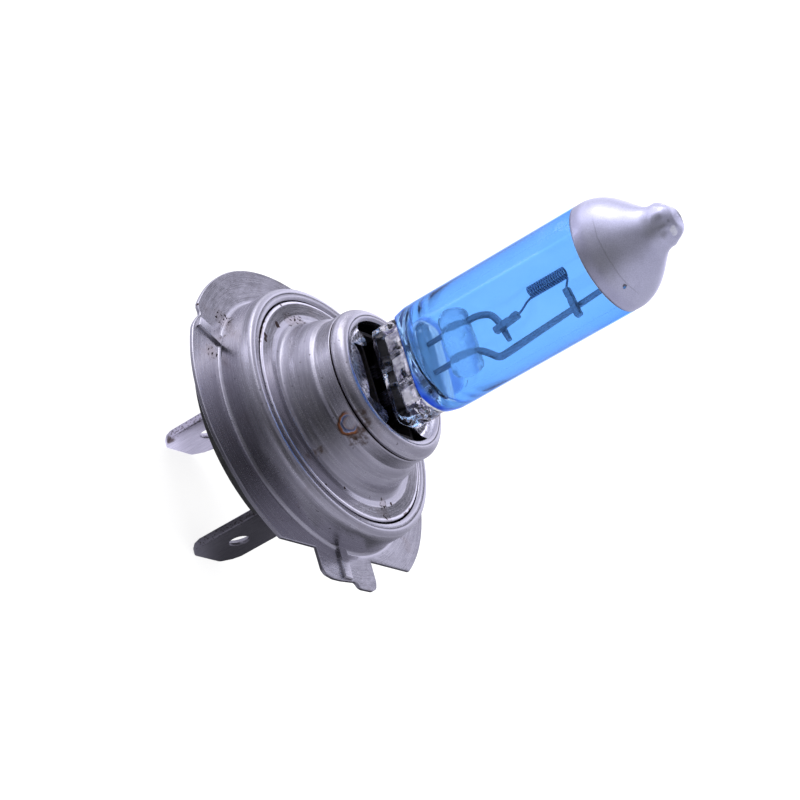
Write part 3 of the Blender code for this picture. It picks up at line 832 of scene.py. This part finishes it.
def even_ring(half_x, half_y, power):
    """Points at equal steps along a rounded rectangle, an ellipse when power is 2."""
    dense = []
    fine = 4 * RING
    for k in range(fine + 1):
        a = 2 * math.pi * k / fine
        c, s = math.cos(a), math.sin(a)
        r = ((abs(c) / half_x) ** power + (abs(s) / half_y) ** power) ** (-1 / power)
        dense.append(Vector((r * c, r * s)))
    along = [0.0]
    for a, b in zip(dense, dense[1:]):
        along.append(along[-1] + (b - a).length)
    out = []
    i = 0
    for k in range(RING):
        want = along[-1] * k / RING
        while along[i + 1] < want:
            i += 1
        share = (want - along[i]) / (along[i + 1] - along[i])
        out.append(dense[i].lerp(dense[i + 1], share))
    return out


def section(z, offset=0.0):
    """One ring of the burner's outer skin: flat pinch below, round tube above."""
    half_x = lookup(SHOULDER, z)
    round_share = smoothstep(13.0, 14.8, z)
    half_y = lookup(PINCH_REACH, z)
    ring = []
    flat = 1 - smoothstep(PINCH_TOP_Z, 14.4, z)
    most = lookup(SHOULDER_REACH, z) + offset
    for q in even_ring(half_x + offset, half_y + offset, 8.0 + (2.0 - 8.0) * round_share):
        x, y = q
        face = smoothstep(0.8, 0.97, abs(x) / half_x) * (1 - round_share)
        x += math.copysign(face * pinch_relief(y if x < 0 else -y, z), x)
        p = Vector((x, y, z))
        if flat > 0:
            rough_end = smoothstep(-3.5, -4.6, y) * smoothstep(9.9, 10.8, z)
            x += pinch_noise(p, 0.035 + 0.36 * rough_end) * flat * min(1.0, abs(x))
            near_edge = flat * smoothstep(3.6, 4.8, abs(y))
            y += pinch_noise(p + Vector((7, 7, 7)), 0.03 + 0.42 * rough_end) * near_edge
        reach = math.hypot(x, y)
        if reach > most:
            x, y = x * most / reach, y * most / reach
        ring.append(Vector((x, y, z)))
    return ring


def dome(extra):
    """(r, z) of the domed end and the exhaust nub, from the tube upwards."""
    shape = [
        (5.28, 34.8), (4.95, 35.85), (4.4, 36.75), (3.7, 37.55), (2.98, 38.25), (2.36, 38.92),
        (2.1, 39.5), (2.04, 40.15), (1.66, 40.85), (0.95, 41.4), (0.0, 41.58),
    ]
    out = []
    for i, (r, z) in enumerate(shape):
        a, b = Vector(shape[max(i - 1, 0)]), Vector(shape[min(i + 1, len(shape) - 1)])
        d = (b - a).normalized()
        n = Vector((d.y, -d.x)) if r > 0 else Vector((0, 1))
        out.append(Vector((max(0.0, r + n.x * extra), z + n.y * extra)))
    return out


def smooth_line(points, per=5):
    """Catmull-Rom through the points."""
    pts = [Vector(p) for p in points]
    pts = [2 * pts[0] - pts[1]] + pts + [2 * pts[-1] - pts[-2]]
    out = []
    for a, b, c, d in zip(pts, pts[1:], pts[2:], pts[3:]):
        for k in range(per):
            t = k / per
            square = (2 * a - 5 * b + 4 * c - d) * t * t
            out.append(0.5 * (2 * b + (c - a) * t + square + (3 * b - a - 3 * c + d) * t ** 3))
    out.append(pts[-2])
    return out


def nub_dent(p):
    """Irregular shrink marks where the exhaust tube was melted off."""
    share = smoothstep(39.4, 40.6, p.z)
    n = noise.noise(p * 1.1 + Vector((1.7, 4.2, 0.6)))
    shift = Vector()
    radial = Vector((p.x, p.y, 0))
    if radial.length > 1e-6:
        shift += radial.normalized() * 0.16 * n * share
    inward = (Vector((0, 0, 39.6)) - p).normalized()
    from_dent = p - Vector((-1.36, -0.5, 41.0))
    q = from_dent.length
    side = 0.5 - 0.5 * from_dent.dot(Vector((-0.35, 0.55, 0.75))) / max(q, 0.05)
    crease = 0.06 * gauss(q, 0.98, 0.36) * side
    shift += inward * (0.07 * math.exp(-((q / 0.9) ** 2)) + crease + 0.04 * math.exp(-((q / 0.3) ** 2)))
    for centre, size, depth in (((-0.3, -1.5, 40.9), 0.5, 0.14), ((-0.2, 1.3, 41.0), 0.6, 0.12)):
        q = (p - Vector(centre)).length
        shift += inward * depth * math.exp(-(q / size) ** 2)
    return shift


def make_quartz(mat):
    """Envelope, shoulder and pinch as one solid of quartz. The cavity's skin faces into the cavity."""
    mesh = bmesh.new()
    rows = []
    zs = [PINCH_FOOT_Z, PINCH_FOOT_Z + 0.12, 5.0, 6.0, 7.0, 8.0, 8.8]
    zs += [9.0 + 0.1 * i for i in range(40)]
    zs += [13.0 + 0.1 * i for i in range(26)] + [15.7, 18.0, 22.0, 26.0, 30.0, 33.8]
    for z in zs:
        shrink = -0.12 if z == PINCH_FOOT_Z else 0.0
        rows.append([mesh.verts.new(p) for p in section(z, shrink)])
    mesh.faces.new(rows[0][::-1])
    for p in smooth_line(dome(-0.1), 3):
        if p.x < 0.02:
            rows.append([mesh.verts.new((0, 0, p.y))])
            break
        rows.append([mesh.verts.new((p.x * c, p.x * s, p.y)) for c, s in circle(RING)])
    add_grid(mesh, rows)
    bmesh.ops.recalc_face_normals(mesh, faces=mesh.faces)
    outer = set(mesh.faces)
    cavity, wide = [], CAVITY_R
    for z, half_x, half_y in (
        (13.75, 0.5, 2.6), (13.85, 1.2, 3.2), (14.05, 2.0, 3.6), (14.35, 2.9, 3.85), (14.75, 3.6, 4.02),
        (15.2, 4.0, 4.12), (15.7, wide, wide), (20.0, wide, wide), (27.0, wide, wide), (33.6, wide, wide),
        (34.7, 4.1, 4.1), (35.5, 3.6, 3.6), (36.2, 2.7, 2.7), (36.75, 1.5, 1.5),
    ):
        cavity.append([mesh.verts.new((half_x * c, half_y * s, z)) for c, s in circle(RING, 0.5)])
    bottom = [mesh.verts.new((0, 0, 13.72))]
    top = [mesh.verts.new((0, 0, 36.9))]
    add_grid(mesh, [bottom] + cavity + [top])
    inner = [face for face in mesh.faces if face not in outer]
    bmesh.ops.recalc_face_normals(mesh, faces=inner)
    bmesh.ops.reverse_faces(mesh, faces=inner)
    return finish_mesh("quartz_envelope", mesh, mat, 180.0, recalc=False)


def make_coat(mat):
    """Filter film over the tube and shoulder, stopping under the paint."""
    mesh = bmesh.new()
    zs = [13.35 + 0.1 * i for i in range(22)] + [15.7, 18.0, 21.0, 24.0, 27.0, 30.0, 33.62]
    rows = [[mesh.verts.new(p) for p in section(z, 0.12)] for z in zs]
    rows += [[mesh.verts.new(p) for p in section(z, 0.05)] for z in zs[::-1]]
    add_grid(mesh, rows, closed_cols=True)
    return finish_mesh("filter_film", mesh, mat, 180.0)


def make_silver(mat):
    """Paint over the domed end, as thick as a coat of paint."""
    outer = smooth_line([(GLASS_R + 0.1, PAINT_EDGE_Z)] + dome(0.0), 6)
    inner = smooth_line([(GLASS_R + 0.02, PAINT_EDGE_Z)] + dome(-0.08), 6)
    return lathe("silver_tip", outer + inner[::-1], mat, 128, bend=nub_dent, sharp=180.0)


def make_bridge(mat):
    """Clear quartz bar with rounded ends, pinched where the leads pass."""
    half, r = 3.4, 1.6
    end = [(0.0, half)]
    for i in range(1, 8):
        a = math.pi / 2 * i / 7
        end.append((r * math.sin(a), half - 0.95 + 0.95 * math.cos(a)))
    middle = []
    y = half - 1.1
    while y > -half + 1.1:
        dip = 0.10 * (gauss(y, 1.5, 0.35) + gauss(y, -1.5, 0.35))
        middle.append((r - dip, y))
        y -= 0.14
    profile = end + middle + [(x, -y) for x, y in end[::-1]]

    def lump(p):
        return Vector((p.x, p.y, 0)) * 0.07 * noise.noise(p * 0.8)

    obj = lathe("quartz_bridge_bar", profile, mat, 64, closed=False, bend=lump, sharp=180.0)
    lie_along_y(obj, -90, (0, 0, BRIDGE_Z))
    return obj


def make_lead(name, points, corner, mat):
    path = rounded([(0, y, z) for y, z in points], corner, 10)
    return wire(name, path, LEAD_R, mat, 24, 0.25)


SHORT_LEAD = [(1.5, 12.6), (1.5, 20.0), (0.9, 21.4), (-0.3, 22.0), (-2.3, 22.4)]
LONG_LEAD = [(-1.5, 12.6), (-1.5, 19.1), (-3.25, 20.9), (-3.22, 21.9), (-2.35, 34.2)]


def make_coil(mat):
    """Filament from clamp to clamp: a leg, the coil beside the axis, a leg."""
    turns, start, length, centre, radius = 16, 25.7, 4.1, 0.8, 0.5
    per = 24
    points = [
        (-0.68, -0.84, start - 1.25), (-0.6, -0.66, start - 0.95), (-0.5, -0.4, start - 0.65),
        (-0.3, -0.05, start - 0.38), (-0.12, 0.14, start - 0.18),
    ]
    for i in range(turns * per + 1):
        a = 2 * math.pi * i / per - math.pi / 2
        z = start + length * i / (turns * per)
        points.append((radius * math.cos(a), centre + radius * math.sin(a), z))
    top = start + length
    points += [
        (-0.2, 0.1, top + 0.09), (-0.36, -0.22, top + 0.07), (-0.55, -0.6, top - 0.02),
        (-0.66, -0.95, top - 0.12),
    ]
    return wire("filament_coil_wire", points, 0.105, mat, 10)


def clamp(name, start, end, mat, dents):
    """Flattened sleeve pressed beside the support wire, with weld dents along it."""
    a, b = Vector(start), Vector(end)
    along = (b - a).normalized()
    across = Vector((1, 0, 0))
    side = along.cross(across)
    mesh = bmesh.new()
    rows = []
    count = 28
    for i in range(count + 1):
        t = i / count
        centre = a.lerp(b, t)
        squeeze = 1.0 - 0.16 * sum(gauss(t, d, 0.07) for d in dents)
        end_round = 0.92 if i in (0, count) else 1.0
        ring = []
        for c, s in circle(20, 0.5):
            x = math.copysign(abs(c) ** 0.3, c) * 0.36 * end_round
            v = math.copysign(abs(s) ** 0.3, s) * 0.32 * end_round * (squeeze if c < 0.3 else 1.0)
            ring.append(mesh.verts.new(centre + across * x * (squeeze if c < 0 else 1.0) + side * v))
        rows.append(ring)
    return capped(name, mesh, rows, mat, 45.0)


def make_foil(name, sign, mat):
    """Thin molybdenum ribbon sealed in the pinch, slightly rippled."""
    mesh = bmesh.new()
    rows = []
    for side in (-1, 1):
        for j in range(17):
            v = (j / 16 if side < 0 else 1 - j / 16) * 2 - 1
            thick = 0.05 * (1 - abs(v) ** 3) + 0.004
            row = []
            for i in range(41):
                z = 6.4 + 6.4 * i / 40
                wave = 0.05 * math.sin(z * 5.2 + sign) + 0.04 * noise.noise(Vector((v, z * 1.3, sign)))
                row.append(mesh.verts.new((side * thick + wave, sign * 1.5 + 0.75 * v, z)))
            rows.append(row)
    add_grid(mesh, rows, closed_rows=False, closed_cols=True)
    mesh.faces.new([row[0] for row in rows])
    mesh.faces.new([row[-1] for row in rows])
    return finish_mesh(name, mesh, mat, 60.0)


# ---- assembly
def place(piece, slot, *nodes):
    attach(piece, "root")
    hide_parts(*nodes)


CAP_MARKS = [
    ("smear", (-10.5, 6.7, 0.4), 0.8),
    ("spot", (-13.3, 10.05, -0.3), 0.28),
    ("rust", (-9.94, 9.24, -0.3), 1.1),
    ("rust", (-13.03, 5.0, -0.3), 0.8),
    ("spot", (9.84, -5.51, 3.4), 0.22),
    ("smear", (-6.82, -5.94, 4.0), 0.9),
]
DISC_MARKS = [
    ("spot", (-9.55, 5.2, 3.4), 0.3),
    ("spot", (-9.35, 5.7, 3.4), 0.34),
    ("line", (-9.6, 6.3, 3.4), 2.2),
    ("spot", (-6.84, 7.5, 3.36), 0.42),
    ("rust", (-4.61, 8.58, 3.36), 0.85),
    ("rust", (-3.13, 8.67, 3.36), 0.9),
    ("spot", (-5.06, 7.21, 3.45), 0.17),
    ("spot", (-5.26, 10.0, 3.4), 0.16),
    ("rust", (2.42, -9.42, 3.4), 0.6),
    ("rust", (2.41, -10.54, 3.4), 0.75),
    ("line", (6.2, -9.5, 3.4), 1.3),
    ("spot", (3.88, -9.06, 3.4), 0.22),
    ("spot", (-3.43, -8.84, 3.4), 0.16),
    ("spot", (-6.37, -9.09, 3.4), 0.16),
    ("smear", (-6.8, -6.0, 3.9), 0.7),
    ("weld", (-6.1, -4.7, 7.45), 1.2),
    ("smear", (-4.76, -6.05, 7.3), 0.85),
    ("smear", (-5.1, -5.76, 6.7), 0.75),
    ("smear", (-5.4, -5.5, 8.0), 0.8),
]
RIM_MARKS = [
    ("smear", (-6.18, -4.59, 8.97), 0.75),
    ("smear", (-5.54, -5.34, 8.7), 0.8),
    ("seam", (0.0, 0.0, 8.4), 0.14),
    ("mottle", (0.0, 0.0, 9.1), 5.75),
]
flange_steel = cap_steel("flange_brushed_steel", CAP_MARKS)
neck_steel = cap_steel("neck_brushed_steel", DISC_MARKS, True)
collar_steel = cap_steel("collar_brushed_steel", RIM_MARKS)
holder_steel = oxide_steel("holder_oxidised_steel")
bridge_quartz = glass_material("bridge_quartz", (0.94, 0.97, 1.0), 1.38, 0.35)
moly = drawn_wire("molybdenum_wire", (0.34, 0.34, 0.38), 0.30)
moly_foil = drawn_wire("molybdenum_foil", (0.75, 0.75, 0.80), 0.22, (1.0, 3.0, 0.6))
tungsten = drawn_wire("tungsten_filament", (0.25, 0.27, 0.38), 0.35, (4.0, 4.0, 4.0))
black = moulding_material()

place(make_flange(flange_steel), "flange_steel", "mounting_flange")
place(make_neck(neck_steel), "neck_steel", "neck_ring")
place(make_collar(collar_steel), "collar_steel", "burner_collar")
place(make_insulator(black), "black_moulding", "insulator_base")
for name, y, lit_and_heat_tinted, node in (
    ("far_blade", FAR_BLADE_Y, True, "terminal_far_side"),
    ("tongue_blade", TONGUE_BLADE_Y, False, "terminal_tongue_side"),
):
    place(make_blade(name, y, blade_material(name + "_metal", lit_and_heat_tinted)), "terminal_metal", node)
place(make_quartz(envelope_material()), "clear_quartz", "quartz_burner")
place(make_coat(coat_material()), "blue_coating", "blue_filter_coat")
place(make_silver(silver_material()), "silver_paint", "silver_tip_coat")
place(make_bridge(bridge_quartz), "clear_quartz", "quartz_bridge")
place(make_lead("short_lead_wire", SHORT_LEAD, 1.0, moly), "lead_metal", "short_support_lead")
place(make_lead("long_lead_wire", LONG_LEAD, 1.1, moly), "lead_metal", "long_support_lead")
place(make_coil(tungsten), "tungsten", "filament_coil")
for end, low, high, dents in (
    ("near", (-1.18, 21.65), (-0.83, 24.35), (0.3, 0.7)),
    ("far", (-1.05, 29.65), (-3.75, 29.95), (0.35, 0.75)),
):
    sleeve = clamp(end + "_clamp_sleeve", (CLAMP_X, *low), (CLAMP_X, *high), moly, dents)
    place(sleeve, "lead_metal", end + "_filament_clamp")
for side, sign in (("a", 1), ("b", -1)):
    place(make_foil("foil_strip_" + side, sign, moly_foil), "lead_metal", "sealing_foil_" + side)
for node, mat in (("pinch_holder", holder_steel), ("outer_lead_a", moly), ("outer_lead_b", moly)):
    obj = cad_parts[node]
    obj.data.materials.clear()
    obj.data.materials.append(mat)


# ---- studio
# Brightness that polished metal sees by compass direction: (degrees from +X, level).
NEAR_FLOOR = (
    (-180, 0.10), (-166, 0.08), (-152, 0.12), (-138, 0.20), (-124, 0.30), (-110, 0.30), (-97, 0.25),
    (-83, 0.14), (-69, 0.08), (-55, 0.08), (-40, 0.10), (-26, 0.20), (-11, 0.50), (3, 0.54), (35, 0.70),
    (60, 0.62), (80, 0.70), (97, 0.90), (111, 1.00), (125, 0.60), (131, 1.10), (139, 0.60), (153, 0.29),
    (167, 0.20),
)
MID_FLOOR = (
    (-180, 0.09), (-167, 0.10), (-152, 0.25), (-137, 0.25), (-122, 0.47), (-107, 0.40), (-92, 0.43),
    (-77, 0.22), (-62, 0.13), (-47, 0.17), (-32, 0.34), (-16, 0.52), (-1, 0.65), (14, 0.80), (35, 0.75),
    (60, 0.60), (88, 0.50), (104, 0.57), (118, 0.73), (126, 0.90), (130, 2.90), (134, 1.00), (149, 0.62),
    (163, 0.34),
)
FAR_FLOOR = (
    (-180, 0.06), (-170, 0.08), (-160, 0.25), (-148, 0.51), (-128, 0.63), (-108, 0.70), (-10, 0.70),
    (12, 0.90), (32, 1.10), (52, 0.83), (72, 0.73), (92, 0.70), (112, 0.82), (125, 0.82), (129, 5.60),
    (133, 0.82), (152, 0.56), (166, 0.25),
)
ROOM = (
    (-180, 0.16), (-160, 0.05), (-140, 0.06), (-125, 0.20), (-105, 0.50), (-80, 0.62), (-15, 0.56),
    (4, 0.78), (14, 1.60), (22, 1.30), (26, 0.13), (31, 0.13), (35, 1.40), (42, 1.85), (52, 1.20),
    (65, 0.90), (80, 1.25), (100, 1.60), (112, 1.55), (128, 1.00), (145, 0.50), (165, 0.28),
)
MIRROR_COLOUR = (0.93, 0.92, 1.13)
RAMP_MOST = 6.0
FLOOR_Z = BLADE_END_Z
AIM_Z = 13.0
FIELD_OF_VIEW = 16.466


def around_ramp(s, direction, stops):
    """Brightness by compass direction (degrees from +X), the same at both ends of the turn."""
    x, y, _ = s.split(direction)
    turn = s.math("ARCTAN2", y, x)
    share = s.plus(s.math("DIVIDE", turn, 2 * math.pi), 0.5)
    places = [((angle + 180) / 360, (value / RAMP_MOST,) * 3) for angle, value in stops]
    places.append((1.0, places[0][1]))
    return s.times(s.ramp(share, places), RAMP_MOST)


def blend(s, share, a, b):
    return s.plus(s.times(a, s.minus(1.0, share)), s.times(b, share))


def mirror_only(s):
    """1 for reflected rays; 0 for what the camera sees directly, through glass, or as soft fill."""
    glossy = s.made("ShaderNodeLightPath", "Is Glossy Ray")
    return s.times(glossy, s.minus(1.0, s.made("ShaderNodeLightPath", "Is Transmission Ray")))


def make_floor():
    """White sheet that sweeps up all round; its pattern shows only in reflections on metal."""
    s = Shade("white_sweep", Roughness=0.9, Specular_IOR_Level=0.1, Emission_Strength=0.78)
    s.set("Emission Color", (1.0, 1.0, 1.0))
    s.set("Base Color", s.mix(s.step(s.noise(0.05)), (0.44, 0.44, 0.443), (0.46, 0.46, 0.463)))
    r = s.around()[2]
    near, middle, far = (around_ramp(s, s.mm, zone) for zone in (NEAR_FLOOR, MID_FLOOR, FAR_FLOOR))
    level = blend(s, s.step(r, 62, 92), blend(s, s.step(r, 40, 52), near, middle), far)
    level = blend(s, s.step(r, 115, 160), level, around_ramp(s, s.mm, ROOM))
    glow = s.made("ShaderNodeEmission", 0, {"Color": MIRROR_COLOUR, "Strength": level})
    s.surface(mirror_only(s), s.shader.outputs[0], glow)
    profile = [(r, FLOOR_Z) for r in (0, 60, 200, 560)] + [(700, 10), (800, 90), (850, 230)]
    mesh = bmesh.new()
    add_grid(mesh, lathe_rows(mesh, rounded(profile, 120, 6), 96))
    floor = finish_mesh("floor_sweep", mesh, s.mat, 180.0)
    if floor.data.polygons[0].normal.z < 0:
        floor.data.flip_normals()


def make_world():
    """Even white for the eye; for mirror rays a room that is bright in some directions."""
    world = bpy.data.worlds.new("studio")
    SCENE.world = world
    world.use_nodes = True
    s = Shade.__new__(Shade)
    s.tree = world.node_tree
    coords = s.made("ShaderNodeTexCoord", "Generated")
    back = s.tree.nodes["Background"]
    mirror = mirror_only(s)
    s.feed(s.mix(mirror, (1.0, 1.0, 1.0), MIRROR_COLOUR), back.inputs["Color"])
    height = s.split(coords)[2]
    room = blend(s, s.step(height, 0.76, 0.95), around_ramp(s, coords, ROOM), 0.22)
    room = s.times(room, mirror)
    s.feed(s.plus(room, s.minus(1.0, mirror)), back.inputs["Strength"])


def soft_box(name, azimuth, elevation, distance, size, power):
    """Area lamp aimed at the middle of the bulb."""
    data = bpy.data.lights.new(name, "AREA")
    data.shape = "RECTANGLE"
    data.size, data.size_y = size[0] * MM, size[1] * MM
    data.energy = power
    a, e = math.radians(azimuth), math.radians(elevation)
    way = Vector((math.cos(a) * math.cos(e), math.sin(a) * math.cos(e), math.sin(e)))
    lamp = add_object(name, data)
    lamp.location = (Vector((0, 0, AIM_Z)) + way * distance) * MM
    lamp.rotation_euler = (-way).to_track_quat("-Z", "Y").to_euler()


def make_camera():
    """The view of the photograph: over the flange from -X, rolled so that the axis climbs to the right."""
    data = bpy.data.cameras.new("camera")
    data.lens = data.sensor_width / 2 / math.tan(math.radians(FIELD_OF_VIEW / 2))
    data.clip_start, data.clip_end = 0.01, 10.0
    camera = add_object("camera", data)
    right = Vector((0.57110531, -0.26446492, 0.77710812))
    up = Vector((-0.1996654, 0.87349552, 0.44400371))
    back = right.cross(up)
    place_at = Vector((-202.045, -105.817, 122.852)) * MM
    camera.matrix_world = Matrix((
        (right.x, up.x, back.x, place_at.x), (right.y, up.y, back.y, place_at.y),
        (right.z, up.z, back.z, place_at.z), (0, 0, 0, 1),
    ))
    SCENE.camera = camera


make_floor()
make_world()
soft_box("window_box", 96, 28, 330, (120, 190), 0.125)
make_camera()
SCENE.view_settings.view_transform = "Standard"
SCENE.view_settings.look = "None"
SCENE.cycles.transparent_max_bounces = 24
